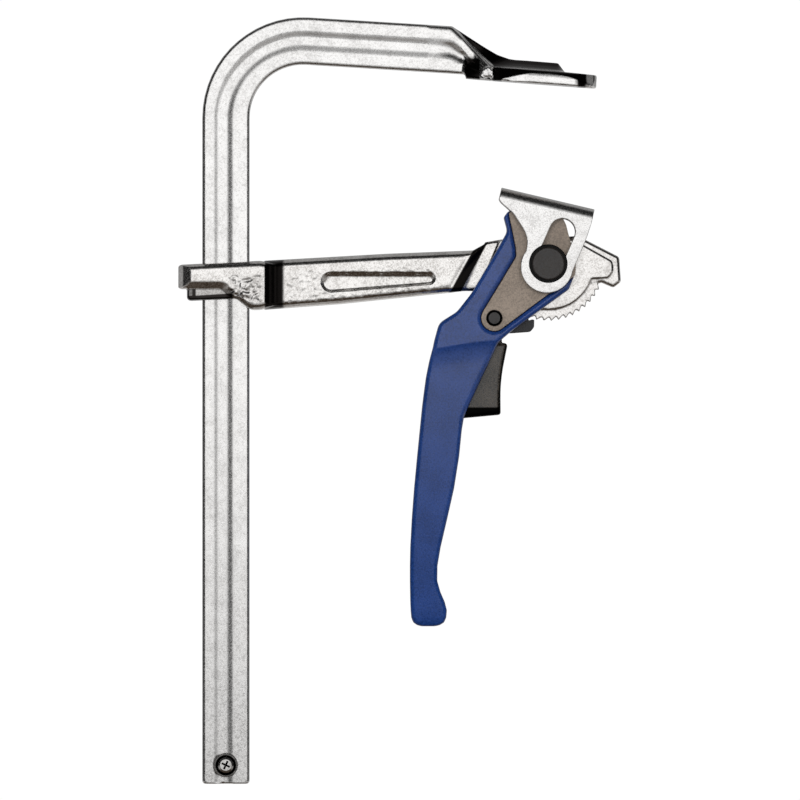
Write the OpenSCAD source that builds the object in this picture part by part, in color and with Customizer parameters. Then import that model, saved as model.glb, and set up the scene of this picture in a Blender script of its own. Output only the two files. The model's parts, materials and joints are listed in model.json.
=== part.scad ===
// Ratcheting lever clamp: a bent steel rail with a forged jaw, a sliding arm, a lever whose
// cam plates press a tilting pad, and a trigger with a pawl that holds the lever.
// Origin: middle of the fixed jaw's clamping face. X runs out along the jaw, Y from front
// to back, Z up along the rail. Sizes are in millimetres.

/* [Rail] */
// Width of the rail, seen from the side
rail_w = 25; // [20:0.5:35]
// Thickness of the rail
rail_t = 12; // [10:0.5:16]
// Width of the groove along each broad face
groove_w = 9.2; // [5:0.1:12]
// Depth of each groove
groove_depth = 1.5; // [0.8:0.1:2.5]
// Width of each sloping flank of a groove
groove_flank = 1.8; // [0.8:0.1:2.2]
// Rounding of the rail's long edges and of its lower end
rail_edge_r = 1.5; // [0.5:0.1:3]
// Distance from the middle of the rail to the middle of the jaw face
throat = 170.7; // [130:0.1:260]
// Length of the rail below the jaw face
rail_drop = 370.4; // [250:0.1:900]
// Radius of the bend at the middle of the rail
bend_r = 40.8; // [30:0.1:60]
// Angle that the rail turns through in the bend
bend_angle = 93.5; // [90:0.5:97]
// Depth of the bend's centre below the jaw face
bend_drop = 17.6; // [10:0.1:30]

/* [Fixed jaw] */
// Reach of the jaw from the middle of its face to its tip
jaw_reach = 25.5; // [20:0.5:40]
// Length of the jaw face from its middle back to its heel
jaw_heel = 43.6; // [35:0.1:60]
// Width of the jaw plate
jaw_w = 36; // [28:0.5:50]
// Thickness of the jaw plate
jaw_plate_t = 7; // [5:0.1:12]
// Rounding of the jaw's tip, seen from above
jaw_tip_r = 12; // [4:0.5:14]
// Length of the rib along the top of the jaw, past the middle of its face
jaw_rib_reach = 8.6; // [0:0.1:15]
// Height of the level part of that rib above the plate
jaw_rib_h = 4.6; // [2:0.1:8]
// Slope of the clamping face against the upper arm of the rail
jaw_face_slope = 0.8; // [0:0.1:3]

/* [Arm stop] */
// Height of the stop screw above the rail's lower end
stop_height = 10; // [8:0.5:20]
// Outer radius of the cup washer under the screw's head
stop_cup_r = 6.4; // [5.5:0.1:8]
// Height of the cup washer
stop_cup_h = 2.4; // [1.5:0.1:4]
// Radius of the screw's head
stop_head_r = 4.2; // [3.5:0.1:5]
// Radius of the screw's shank
stop_shank_r = 2.5; // [2:0.1:3]
// Thickness of the flat washer behind the rail
stop_washer_t = 1.2; // [0.8:0.1:2]
// Thickness of the nut
stop_nut_t = 4; // [3:0.1:6]

/* [Sliding arm] */
// Depth of the lever's pivot below the jaw face, with the arm where it is drawn
pivot_drop = 94.9; // [80:0.1:250]
// Wall of the collar before and behind the rail
collar_wall = 6; // [4:0.1:10]
// Gap round the rail inside the collar
collar_gap = 0.3; // [0.15:0.05:0.6]
// Wall of the upper strap at the back of the rail
upper_strap_wall = 12.7; // [8:0.1:18]
// Wall of the lower strap at the back of the rail
lower_strap_wall = 8.1; // [5:0.1:12]
// Height of the upper strap
upper_strap_h = 12.8; // [8:0.1:18]
// Depth of the lower strap's lower edge below the pivot
collar_drop = 19.7; // [16:0.1:24]
// How far the lower strap's faces lie inside the collar's
strap_recess = 1.9; // [0.8:0.1:3]
// Thickness of the beam between the collar and the head
arm_t = 15; // [10:0.5:20]
// Depth of the long pocket in each face of the beam
pocket_depth = 2.6; // [1:0.1:4]
// Radius of the pocket's end near the collar
pocket_big_r = 5.8; // [4:0.1:7]
// Radius of the pocket's end near the head
pocket_small_r = 3.7; // [2.5:0.1:5]
// Rounding of the forged arm's long edges, seen from the side
arm_edge = 3; // [1:0.1:4]

/* [Ratchet head] */
// Thickness of the head's raised faces
head_t = 12; // [9:0.5:16]
// Thickness of the head's rim and teeth
rim_t = 8.8; // [6:0.1:9]
// Radius of the tips of the ratchet teeth
tooth_tip_r = 30.4; // [30:0.1:31]
// Depth of the teeth
tooth_depth = 2.2; // [1.5:0.1:2.6]
// Number of teeth that a full turn would hold
teeth_per_turn = 48; // [36:1:60]
// Radius of the raised face above the teeth
plateau_r = 24; // [20:0.1:26]

/* [Pivot] */
// Radius of the pivot pin
pin_r = 6.8; // [5:0.1:7.5]
// Radius of the pin's heads
pin_head_r = 8.6; // [8:0.1:9.5]
// Height of the pin's heads
pin_head_h = 2; // [1.2:0.1:4]
// Outer radius of the washers under the heads
washer_r = 10.2; // [9.5:0.1:12]
// Thickness of those washers
washer_t = 1; // [0.6:0.1:2]

/* [Pressure plate] */
// Thickness of the plate's sheet steel
sheet_t = 3; // [2:0.1:4]
// Outer radius of the two bends
sheet_bend_r = 6; // [4:0.1:7]
// Height of the pressing face above the pivot
plate_height = 33.6; // [33:0.1:36]
// Tilt of the pressing face in the drawn position
plate_tilt = 13.2; // [5:0.1:20]
// Length of the pressing face towards the rail
plate_back = 33.2; // [28:0.1:40]
// Length of the pressing face away from the rail
plate_front = 17.4; // [14:0.1:24]
// Lean of the slots away from upright
slot_lean = 23.7; // [15:0.1:30]
// Distance from the pivot to the middle of a slot's upper end
slot_rise = 18.5; // [12:0.1:19]
// Distance from the pivot to the middle of a slot's lower end
slot_fall = 1.9; // [0.5:0.1:3]
// Radius of the lobe round a slot's lower end
lobe_r = 13.8; // [13:0.1:15]

/* [Lever] */
// Thickness of the webs that carry the cam plates
web_t = 2; // [1.5:0.1:4]
// Thickness of the cam plates
cam_t = 4; // [2.5:0.1:6]
// How far the cam plates lie below the lever's faces
cam_inset = 0.7; // [0.3:0.1:1.5]
// Rounding of the lever's long edges
lever_edge_r = 2.2; // [1:0.1:3]
// Thickness of the grip
grip_t = 21; // [18:0.5:26]
// Length of the grip below the pivot
grip_drop = 192; // [170:0.5:260]

/* [Pawl and trigger] */
// Radius of the pawl pin
pawl_pin_r = 3; // [2.5:0.1:3.4]
// Radius of the pawl pin's heads
pawl_head_r = 4.1; // [3.6:0.1:5]
// Thickness of the pawl's hub
pawl_hub_t = 4.4; // [3:0.1:5]
// Thickness of the pawl's side flanges and of the trigger's ears
flange_t = 1.2; // [0.8:0.1:1.4]
// Thickness of the spring's wire
wire_r = 0.4; // [0.25:0.05:0.5]
// Turns of the spring
spring_turns = 1.5; // [0.5:1:1.5]

/* [Hidden] */

// Finishes
nickel = [0.78, 0.77, 0.75];
zinc = [0.70, 0.71, 0.72];
taupe = [0.47, 0.43, 0.39];
lever_blue = [0.13, 0.22, 0.46];
black_oxide = [0.10, 0.10, 0.10];
black_plastic = [0.20, 0.19, 0.18];

// Fineness of round parts, and chords on each rounded corner of an outline
$fn = 96;
corner_steps = 6;
bend_steps = 15;
small_radius = 1.6;
small_steps = 2;

// Running gaps: across flat faces that turn or slide, round pins, and under the tooth tips
side_gap = 0.3;
flat_gap = 0.1;
pin_gap = 0.05;
slot_gap = 0.1;
tip_gap = 0.2;
overshoot = 1;

// Half widths, from the middle plane outwards
cheek_in = head_t / 2 + side_gap;
cam_seat = cheek_in + web_t;
cam_out = cam_seat + cam_t;
cheek_out = cam_out + cam_inset;
plate_in = cheek_out + side_gap;
plate_out = plate_in + sheet_t;
washer_seat = plate_out + flat_gap;
head_seat = washer_seat + washer_t + pin_gap;
collar_half = rail_t / 2 + collar_wall;

// Upper arm of the rail, in the jaw's tilted frame: s runs along the arm, u across it
jaw_droop = bend_angle - 90;
bend_centre = [bend_r - throat, -bend_drop];
arm_start_s = bend_centre.x * cos(jaw_droop) - bend_centre.y * sin(jaw_droop);
arm_mid_u = bend_centre.x * sin(jaw_droop) + bend_centre.y * cos(jaw_droop) + bend_r;
arm_top_u = arm_mid_u + rail_w / 2;
arm_bottom_u = arm_mid_u - rail_w / 2;

// Rise of the forged faces from the arm to the plate: fractions of the way against s
jaw_root = jaw_heel + 9;
rib_fall = [
    [-jaw_root, 1], [-44.4, 0.77], [-35.4, 0.52], [-27.7, 0.33], [-20.7, 0.23],
    [jaw_rib_reach - 4, 0.23], [jaw_rib_reach, 0],
];
crest_fall = [[-jaw_root, 1], [-30.6, 0]];
crest_spread = [
    [-41, 0], [-38.5, 0.05], [-36, 0.2], [-33.5, 0.42], [-31, 0.62], [-27, 0.82], [-20, 1],
];
foot_spread = [
    [-jaw_heel - 2, 0], [-jaw_heel, 0.2], [-40, 0.52], [-36.5, 0.7], [-29.5, 0.73], [-20, 1],
];
groove_fade = [[-jaw_root - 4, 1], [-46, 1], [-41, 0.7], [-36, 0]];
rib_half = 2.6;
jaw_top_r = 3.4;
jaw_foot_r = 0.5;

// Stations of the jaw along s: the arm's root, the forged transition, the plate and its tip
jaw_tip_s = jaw_reach;
jaw_stations = concat(
    [-jaw_root - 4, -jaw_root],
    [for (k = [1:5]) -jaw_root + k * (jaw_root - jaw_heel - 0.6) / 5],
    [for (k = [0:10]) -jaw_heel + k * (jaw_heel - 12) / 10],
    [jaw_rib_reach - 4, jaw_rib_reach - 2.7, jaw_rib_reach - 1.3, jaw_rib_reach],
    [for (a = [0:20:80]) jaw_tip_s - jaw_tip_r * (1 - sin(a))],
    [jaw_tip_s - 0.02]
);

// Collar and beam of the sliding arm, beside the rail's middle and the pivot
rail_x = -throat;
back_x = rail_x - rail_w / 2;
inner_x = rail_x + rail_w / 2;
collar_corners = [
    [back_x - upper_strap_wall - overshoot, -upper_strap_h - 0.6, 3],
    [back_x - lower_strap_wall, -upper_strap_h - 0.6, 0.4],
    [back_x - lower_strap_wall, -collar_drop, 2],
    [inner_x - 7, -18.6, 3],
    [inner_x - 0.9, -23.4, 2],
    [inner_x + 1.5, -24.5, 3],
    [inner_x + 6, -24.4, 8],
    [inner_x + 18.5, arm_edge - 23.4, 0],
    [inner_x + 18.5, 1.4 - arm_edge, 0],
    [inner_x + 6, 1.6, 8],
    [back_x - upper_strap_wall - overshoot, -0.6, 3.5],
];
plan_slack = 0.05;
plan_depth = 40;
plan_rise = 20;
collar_plan_half = [
    [back_x - upper_strap_wall, -5.2, 5], [back_x - upper_strap_wall + 2.8, -10.4, 4],
    [back_x - upper_strap_wall + 7, -collar_half - plan_slack, 4],
    [inner_x + 8.4, -collar_half - plan_slack, 1.6],
    [inner_x + 11.8, -arm_t / 2 - 0.1, 8], [inner_x + 18.5 + overshoot, -arm_t / 2 + 0.3, 0],
];
collar_plan = concat(
    collar_plan_half,
    [for (k = [len(collar_plan_half) - 1:-1:0])
        [collar_plan_half[k].x, -collar_plan_half[k].y, collar_plan_half[k][2]]]
);
recess_reach = 60;
recess_corners = [
    [back_x - plan_depth, -recess_reach, 0], [inner_x + 3, -recess_reach, 0], [inner_x - 2.4, -24.6, 0],
    [inner_x - 15, -13.4, 1.5], [back_x - plan_depth, -13.4, 0],
];
recess_slope = 4;
arm_edge_depth = 5.2;
beam_corners = [
    [inner_x + 8, -24.4, 0], [-110, -21.4, 120], [-50.4, -15.2, 0], [-37.8, 7.2, 0],
    [-85, 5.4, 120], [inner_x + 8, 1.7, 0],
];
thick_foot = [-52.7, -15.3];
thick_top = [-40.1, 6.9];
thin_foot = [-44.7, -14.4];
thin_top = [-33.4, 11.4];
neck_lap = [1.6, 0.1];
pocket_ends = [[-114.8, -9.5], [-63.1, -7.6]];

// Head of the sliding arm, round the pivot
tooth_root_r = tooth_tip_r - tooth_depth;
tooth_pitch = 360 / teeth_per_turn;
tooth_lead = 1.6;
root_overlap = 0.3;
rim_chamfer = 1.2;
tooth_half = rim_t / 2 - 0.1;
last_tip = 333;
first_tip = last_tip - tooth_pitch * floor(120 / tooth_pitch);
rim_corners = [
    thin_foot_corner(), [-20, -14.6, 0], [20, -12, 0], [28.3, -10, 0.5], [34.6, -12.7, 1.8],
    [38.6, -9.6, 2], [37.7, 3.6, 2], [16, 14.7, 3], [-25, 12.9, 10], thin_top_corner(),
];
plateau_corners = [
    [-36.6, -14.2, 0.5], [-20, -14, 0], [0, -12, 0], [24.4, -7.4, 2.5], [31.6, -7.1, 2.5],
    [33.9, -4, 2.5], [33.6, 0.9, 2.5], [16.6, 10.4, 3], [8, 14.2, 3], [-25.6, 12.2, 0.5],
];
function thin_foot_corner() = [thin_foot.x, thin_foot.y, 0];
function thin_top_corner() = [thin_top.x, thin_top.y, 0];

// Lever: outline of the fork round the pivot, and stations down the grip
pawl_axis = [-28.5, -28.8];
fork_foot = -44;
fork_corners = [
    [-61, fork_foot, 0], [-27.6, fork_foot, 0], [-26, -41.4, 6], [-19, -35.4, 8],
    [11, -13.6, 3], [13.6, -7, 2], [13.8, 2, 6], [9, 12, 8], [4, 20, 6], [-5, 25, 6],
    [-21, 28, 1.6], [-23.6, 24.6, 1.6], [-21.6, 17.2, 5], [-28.2, 5.4, 14],
    [-40.6, -15.6, 30], [-48.3, -25.4, 12], [-57.8, -31.4, 7], [-60.3, -40.6, 20],
];
grip_stations = [
    // height below the pivot, back edge, front edge, share of the fork's extra thickness
    [42, -60.4, -26.6, 1], [46, -61.5, -28.4, 0.72], [50, -62.6, -30.2, 0.25],
    [54, -63.5, -32.1, 0.05], [60, -64.7, -35, 0], [68, -65.8, -38.7, 0],
    [76, -66.8, -42.4, 0], [81, -67.3, -44.5, 0], [88, -68, -45.7, 0], [102, -69.4, -47.1, 0],
    [119, -71, -49.8, 0], [135, -72.2, -53.4, 0], [150, -73, -56.9, 0], [160, -73.2, -58.6, 0],
    [168, -73.2, -58.7, 0], [174, -73.1, -57, 0], [179, -73, -54.8, 0], [183.5, -72.8, -53.6, 0],
];
grip_end = [[187.5, 0.35], [190, 1.4], [191.4, 3.4], [192, 5.6]];
cavity_corners = [
    [-61.6, -86, 3], [10, -86, 0], [45, -40, 0], [45, 50, 0], [-80, 50, 0], [-80, -19.8, 0],
    [-40.8, -19.8, 1.5], [-37.4, -28, 4], [-41, -34, 5], [-53.6, -42, 5], [-58.6, -60, 20],
];
cavity_r = tooth_tip_r + 1.2;

// Cam plates: a lobe round the pawl pin, a lobe round the pivot and the cam's nose above
cam_foot_r = 6.9;
cam_seat_gap = 0.15;
cam_corners = [
    [-24.4, -34.3, 0], [7, -11, 4], [14.4, -6.4, 4], [14.6, 1, 6], [10.9, 15, 8],
    [9.5, 20.6, 3], [6.6, 26.4, 4], [0, 29.2, 10], [-9, 30.2, 10], [-21, 27.2, 1.2],
    [-17.1, 8.4, 4], [-16.9, 3.6, 3], [-34.33, -25.13, 0],
];

// Pressure plate: outline of its two cheeks, above the lobe
slot_way = [sin(slot_lean), cos(slot_lean)];
slot_half = pin_r + slot_gap;
cheek_corners = [
    [-10, -11, 0], [11.4, -7.4, 0], [20.4, 13.6, 60], [25.4, 29, 0], [28, 46, 0],
    [-30, 52, 0], [-25.8, 33, 4], [-18.2, 26.2, 10], [-10.4, 14, 14], [-12, 5.2, 10],
    [-14.6, -1.6, 0],
];

// Pawl: blank before its teeth are cut, and the turn that brings it into mesh
engage_turn = 3.5;
engage_steps = 5;
pawl_hub_r = 5.4;
pawl_corners = [
    [-31, -34.2, 2], [-20.4, -36.9, 3], [-9.4, -36.1, 2.2], [-7.4, -33.6, 1.6],
    [-7.2, -26.6, 0.8], [-19, -22.6, 0], [-30, -23.4, 1],
];
flange_corners = [
    [-20, -36.9, 1], [-9.4, -36.1, 2.2], [-7.6, -33.6, 1.6], [-7.4, -27.6, 0.8],
    [-13, -25, 0], [-20, -27, 0],
];
flange_seat = rim_t / 2 + 0.3;
relief_r = 7.4;

// Trigger: finger piece below the pawl, and ears that reach up to the pawl pin
trigger_half = cheek_in - side_gap;
trigger_corners = [
    [-51, -82.4, 2], [-25.1, -80, 1.2], [-25.3, -62, 90], [-21.3, -42.1, 1.4],
    [-34, -41.2, 3], [-45, -45.5, 4], [-52.6, -62, 10],
];
ear_r = 5;
ear_seat = trigger_half - flange_t;
ear_corners = [[-33.3, -30, 0], [-23.7, -30, 0], [-24.6, -43.5, 0], [-40, -45.5, 0]];

// Spring: a coil round the pawl pin with one leg to the lever's spine, one to the trigger
coil_r = pawl_pin_r + 1.1;
coil_pitch = 2 * wire_r + 0.25;
coil_seat = pawl_hub_t / 2 + 0.25 + wire_r;
wire_sides = 8;
coil_step = 18;

// Unit vectors, mirrors and turns in a plane
function unit(v) = v / norm(v);
function left_of(v) = [-v.y, v.x];
function flat(v) = [v.x, v.y];
function polar(r, a) = [r * cos(a), r * sin(a)];
function mix(a, b, share) = a + (b - a) * share;

// Points on the rounding of one corner, with the whole outline moved inwards by inset
function corner_points(before, here, after, radius, inset) =
    let (
        arriving = unit(here - before),
        leaving = unit(after - here),
        turn = atan2(arriving.x * leaving.y - arriving.y * leaving.x, arriving * leaving),
        side = turn < 0 ? -1 : 1,
        r = max(radius - side * inset, 0.02),
        mitre = (left_of(arriving) + left_of(leaving)) / (1 + arriving * leaving),
        centre = here + mitre * (inset + side * r),
        start = -side * left_of(arriving),
        first = atan2(start.y, start.x)
    )
    radius == 0 ? [here + mitre * inset]
        : let (steps = radius < small_radius ? small_steps : corner_steps)
            [for (k = [0:steps]) centre + polar(r, first + turn * k / steps)];

// Outline through anticlockwise corners, each [x, z, radius]
function outline(corners, inset = 0) =
    let (n = len(corners))
    [for (i = [0:n - 1])
        each corner_points(flat(corners[(i + n - 1) % n]), flat(corners[i]),
            flat(corners[(i + 1) % n]), corners[i][2], inset)];

// Triangles that fill a plane outline, by cutting off one ear after another
function area2(a, b, c) = (b.x - a.x) * (c.y - a.y) - (b.y - a.y) * (c.x - a.x);
function holds(a, b, c, p) =
    area2(a, b, p) > -1e-6 && area2(b, c, p) > -1e-6 && area2(c, a, p) > -1e-6;
function is_ear(points, loop, i) =
    let (n = len(loop), before = loop[(i + n - 1) % n], here = loop[i], after = loop[(i + 1) % n],
        a = points[before], b = points[here], c = points[after])
    area2(a, b, c) > 1e-5 && len([for (k = loop)
        if (k != before && k != here && k != after && holds(a, b, c, points[k])) k]) == 0;
function next_ear(points, loop, i) =
    i >= len(loop) ? 0 : is_ear(points, loop, i) ? i : next_ear(points, loop, i + 1);
function fill(points, loop, done = []) =
    len(loop) == 3 ? concat(done, [loop])
        : let (n = len(loop), i = next_ear(points, loop, 0))
            fill(points, [for (k = [0:n - 1]) if (k != i) loop[k]],
                concat(done, [[loop[(i + n - 1) % n], loop[i], loop[(i + 1) % n]]]));

// Solid through closed rings, each anticlockwise as seen from the first towards the last. Ends
// that aren't convex are given as plane outlines too, and filled with triangles.
module skin(rings, ends = []) {
    n = len(rings[0]);
    last = len(rings) - 1;
    loop = [for (i = [0:n - 1]) i];
    caps = [for (k = [0, 1]) len(ends) == 0 ? [loop] : fill(ends[k], loop)];
    polyhedron(
        [for (ring = rings) each ring],
        concat(
            [for (face = caps[0]) [for (k = [len(face) - 1:-1:0]) face[k]]],
            [for (k = [0:last - 1]) for (i = loop)
                let (j = (i + 1) % n)
                each [
                    [k * n + i, k * n + j, (k + 1) * n + j],
                    [k * n + i, (k + 1) * n + j, (k + 1) * n + i],
                ]],
            [for (face = caps[1]) [for (i = face) last * n + i]]
        ),
        convexity = 10
    );
}

// Solid from one side outline, with a ring for each layer [y, inset]
module slab(corners, layers) skin(
    [for (layer = layers) [for (p = outline(corners, layer[1])) [p.x, layer[0], p.y]]],
    [for (k = [0, len(layers) - 1]) outline(corners, layers[k][1])]
);

// Layers of a forging that is widest in the middle plane. Its long edges are rounded: by edge
// across the outline and by depth along y.
function forged_layers(half, edge, draft = 0, depth = undef) =
    let (
        deep = is_undef(depth) ? edge : depth,
        side = [for (a = [0:30:90])
            let (y = half - deep * (1 - cos(a)))
            [y, edge * (1 - sin(a)) + draft * y / half]]
    )
    concat(
        [for (layer = side) [-layer[0], layer[1]]],
        draft > 0 ? [[0, 0]] : [],
        [for (k = [len(side) - 1:-1:0]) side[k]]
    );

// A plane shape [x, z] made into a plate between two values of y
module plate(from, to) translate([0, to, 0]) rotate([90, 0, 0]) linear_extrude(to - from) children();

// A round solid along Y, between two values of y
module rod(r, from, to, at = [0, 0], tip_r = undef)
    translate([at.x, from, at.y]) rotate([-90, 0, 0])
        cylinder(h = to - from, r1 = r, r2 = is_undef(tip_r) ? r : tip_r);

// Both sides of the middle plane
module both_sides() {
    children();
    mirror([0, 1, 0]) children();
}

module at_pivot() translate([0, 0, -pivot_drop]) children();
module turned_about(point, angle) translate(point) rotate(angle) translate(-point) children();

// ---- Rail with its forged jaw ----

// Half width and height of the jaw's section at s: f runs up the flank, g over the shoulder
function jaw_tip_inset(s) =
    let (past = max(0, s - (jaw_tip_s - jaw_tip_r)))
    jaw_tip_r - sqrt(max(0, jaw_tip_r * jaw_tip_r - past * past));
function jaw_half(s, spread) =
    mix(rail_t / 2, jaw_w / 2, lookup(s, spread)) - jaw_tip_inset(s);
function jaw_foot_u(s) =
    s < -jaw_heel - 0.4 ? arm_bottom_u : -s * tan(jaw_face_slope);
function jaw_plate_u(s) = -s * tan(jaw_face_slope) + jaw_plate_t + 0.3 * sin(max(0, 4 * (s + 30)));
function jaw_crest_u(s) = mix(jaw_plate_u(s), arm_top_u, lookup(s, crest_fall));
function jaw_rib_u(s) =
    let (level = jaw_rib_h / (arm_top_u - jaw_plate_u(s)), fall = lookup(s, rib_fall))
    mix(jaw_plate_u(s), arm_top_u, s > -21 ? fall / 0.23 * level : fall);
function groove_dent(f, s) =
    let (from_middle = abs(f - 0.5) * rail_w)
    groove_depth * lookup(s, groove_fade)
        * max(0, min(1, (groove_w / 2 - from_middle) / groove_flank));
flank_heights = [0.1, 0.2, 0.5 - groove_w / 2 / rail_w, 0.5 - (groove_w / 2 - groove_flank) / rail_w,
    0.5, 0.5 + (groove_w / 2 - groove_flank) / rail_w, 0.5 + groove_w / 2 / rail_w, 0.8, 0.9];
function jaw_side(s) =
    let (
        foot = jaw_half(s, foot_spread), crest = jaw_half(s, crest_spread),
        low = jaw_foot_u(s), shoulder = jaw_crest_u(s), rib = jaw_rib_u(s),
        r = mix(jaw_top_r, rail_edge_r, lookup(s, crest_fall)),
        q = mix(jaw_foot_r, rail_edge_r, lookup(s, crest_fall)),
        ridge = min(rib_half, crest - r - 0.4)
    )
    concat(
        [for (a = [0:30:90]) [foot - q * (1 - sin(a)), low + q * (1 - cos(a))]],
        [for (f = flank_heights)
            [mix(crest, foot, pow(1 - f, 2.4)) - groove_dent(f, s), mix(low + q, shoulder - r, f)]],
        [for (a = [0:30:90]) [crest - r * (1 - cos(a)), shoulder - r * (1 - sin(a))]],
        [for (g = [0.25:0.25:1]) [mix(crest - r, ridge, g), mix(shoulder, rib, g * g)]]
    );
// Sections [across, up] and rings of the jaw, of the bend at an angle, and of the straight rail
function section(s) =
    let (side = jaw_side(s), n = len(side))
    concat([for (p = side) [p.x, p.y]], [for (k = [n - 1:-1:0]) [-side[k].x, side[k].y]]);
function jaw_ring(s) = [for (p = section(s))
    [s * cos(jaw_droop) + p.y * sin(jaw_droop), -p.x, p.y * cos(jaw_droop) - s * sin(jaw_droop)]];
function bend_ring(a) = [for (p = section(arm_start_s))
    let (r = bend_r + p.y - arm_mid_u)
    [bend_centre.x + r * cos(a), -p.x, bend_centre.y + r * sin(a)]];
function rail_ring(up, squeeze) = [for (p = section(arm_start_s))
    [rail_x - (p.y - arm_mid_u) * squeeze, -p.x, up - rail_drop]];

module rail() color(nickel) difference() {
    skin(
        concat(
            [for (a = [0:30:90]) rail_ring(rail_edge_r * (1 - cos(a)),
                1 - 2 * rail_edge_r * (1 - sin(a)) / rail_w)],
            [for (k = [0:bend_steps]) bend_ring(180 - bend_angle * k / bend_steps)],
            [for (s = jaw_stations) jaw_ring(s)]
        ),
        [section(arm_start_s), section(jaw_stations[len(jaw_stations) - 1])]
    );
    rod(stop_shank_r + pin_gap, -rail_t, rail_t, stop_at);
}

// ---- Stop screw at the rail's lower end ----

stop_at = [rail_x, -rail_drop + stop_height];
stop_floor = 1;

module stop_screw() color(zinc) difference() {
    union() {
        rod(stop_shank_r, -rail_t / 2 - stop_floor, rail_t / 2 + stop_washer_t + stop_nut_t + 1, stop_at);
        rod(stop_head_r, -rail_t / 2 - stop_floor - 1.2, -rail_t / 2 - stop_floor, stop_at);
        rod(stop_head_r * 0.72, -rail_t / 2 - stop_floor - 2.2, -rail_t / 2 - stop_floor - 1.2,
            stop_at, stop_head_r);
    }
    for (turn = [25, 115])
        translate([stop_at.x, -rail_t / 2 - stop_floor - 2.2, stop_at.y]) rotate([0, turn, 0])
            cube([0.55 * stop_head_r * 2, 2.4, 0.9], center = true);
}

module stop_cup_washer() color(black_oxide) translate([stop_at.x, -rail_t / 2, stop_at.y])
    rotate([90, 0, 0]) rotate_extrude() polygon([
        [stop_shank_r + pin_gap, 0], [stop_cup_r - 0.3, 0], [stop_cup_r, 0.3],
        [stop_cup_r, stop_cup_h - 0.5], [stop_cup_r - 0.5, stop_cup_h],
        [stop_head_r + 0.9, stop_cup_h], [stop_head_r + 0.3, stop_floor], [stop_shank_r + pin_gap, stop_floor],
    ]);

module stop_flat_washer() color(zinc) difference() {
    rod(stop_cup_r - 0.6, rail_t / 2, rail_t / 2 + stop_washer_t, stop_at);
    rod(stop_shank_r + pin_gap, 0, rail_t, stop_at);
}

module stop_nut() color(zinc) difference() {
    translate([stop_at.x, rail_t / 2 + stop_washer_t, stop_at.y]) rotate([-90, 0, 0])
        cylinder(h = stop_nut_t, r = stop_shank_r * 1.85, $fn = 6);
    rod(stop_shank_r + pin_gap, 0, rail_t + stop_nut_t, stop_at);
}

// ---- Sliding arm: collar, beam, neck and toothed head ----

module collar() difference() {
    intersection() {
        translate([0, 0, -plan_depth]) linear_extrude(plan_depth + plan_rise) polygon(outline(collar_plan));
        slab(collar_corners, forged_layers(collar_half, arm_edge, 0, arm_edge_depth));
    }
    both_sides() slab(recess_corners, [
        [-collar_half - overshoot, -recess_slope * (1 + overshoot / strap_recess)],
        [strap_recess - collar_half, 0],
    ]);
}

// Octagonal section of the neck between its foot and its top
function neck_ring(foot, top, half, chamfer) =
    let (way = unit(top - foot), low = foot + way * chamfer, high = top - way * chamfer, in = half - chamfer)
    [
        [foot.x, in, foot.y], [foot.x, -in, foot.y], [low.x, -half, low.y], [high.x, -half, high.y],
        [top.x, -in, top.y], [top.x, in, top.y], [high.x, half, high.y], [low.x, half, low.y],
    ];

module neck() skin([
    neck_ring(thick_foot, thick_top, arm_t / 2, 2.6),
    neck_ring(thin_foot + neck_lap, thin_top + neck_lap, rim_t / 2 - 0.3, 1),
]);

module teeth_shape() polygon(concat(
    [[0, 0]],
    [for (tip = [first_tip:tooth_pitch:last_tip + 0.01])
        each [polar(tooth_root_r, tip - tooth_lead), polar(tooth_tip_r, tip)]],
    [polar(tooth_root_r, last_tip + tooth_pitch - tooth_lead)]
));

// The part of a disc below the pivot
module lower_disc(r) difference() {
    circle(r);
    translate([-r, 0]) square([2 * r, r]);
}

module head() {
    plate(-tooth_half, tooth_half) {
        lower_disc(tooth_root_r - root_overlap);
        teeth_shape();
    }
    slab(rim_corners, [
        [-rim_t / 2, rim_chamfer], [rim_chamfer - rim_t / 2, 0],
        [rim_t / 2 - rim_chamfer, 0], [rim_t / 2, rim_chamfer],
    ]);
    plate(-head_t / 2, head_t / 2) {
        lower_disc(plateau_r);
        polygon(outline(plateau_corners));
    }
}

module pocket() hull() for (end = [0, 1])
    rod([pocket_big_r, pocket_small_r][end] + 0.8, -arm_t / 2 - overshoot, -arm_t / 2 + pocket_depth,
        pocket_ends[end], tip_r = [pocket_big_r, pocket_small_r][end] - 1.6, $fn = 32);

module sliding_arm() color(nickel) at_pivot() difference() {
    union() {
        collar();
        slab(beam_corners, forged_layers(arm_t / 2, arm_edge, 0.5, arm_edge_depth));
        neck();
        head();
    }
    translate([back_x - collar_gap, -rail_t / 2 - collar_gap, -plan_depth])
        cube([rail_w + 2 * collar_gap, rail_t + 2 * collar_gap, plan_depth + plan_rise]);
    both_sides() pocket();
    rod(pin_r + pin_gap, -head_t, head_t);
}

// ---- Pivot pin and the washers under its heads ----

module pin_head() {
    rod(pin_head_r, -head_seat - pin_head_h + pin_bevel, -head_seat);
    rod(pin_head_r - pin_bevel, -head_seat - pin_head_h, -head_seat - pin_head_h + pin_bevel,
        tip_r = pin_head_r);
}

tenon_r = pin_r - 1.8;
pin_bevel = 0.5;
module pivot_pin() color(black_oxide) at_pivot() {
    rod(pin_r, -head_seat - 0.5, head_seat);
    rod(tenon_r, 0, head_seat + pin_head_h - 0.4);
    pin_head();
}

module pivot_pin_cap() color(black_oxide) at_pivot() difference() {
    mirror([0, 1, 0]) pin_head();
    rod(tenon_r + pin_gap, 0, head_seat + 2 * pin_head_h);
}

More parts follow.
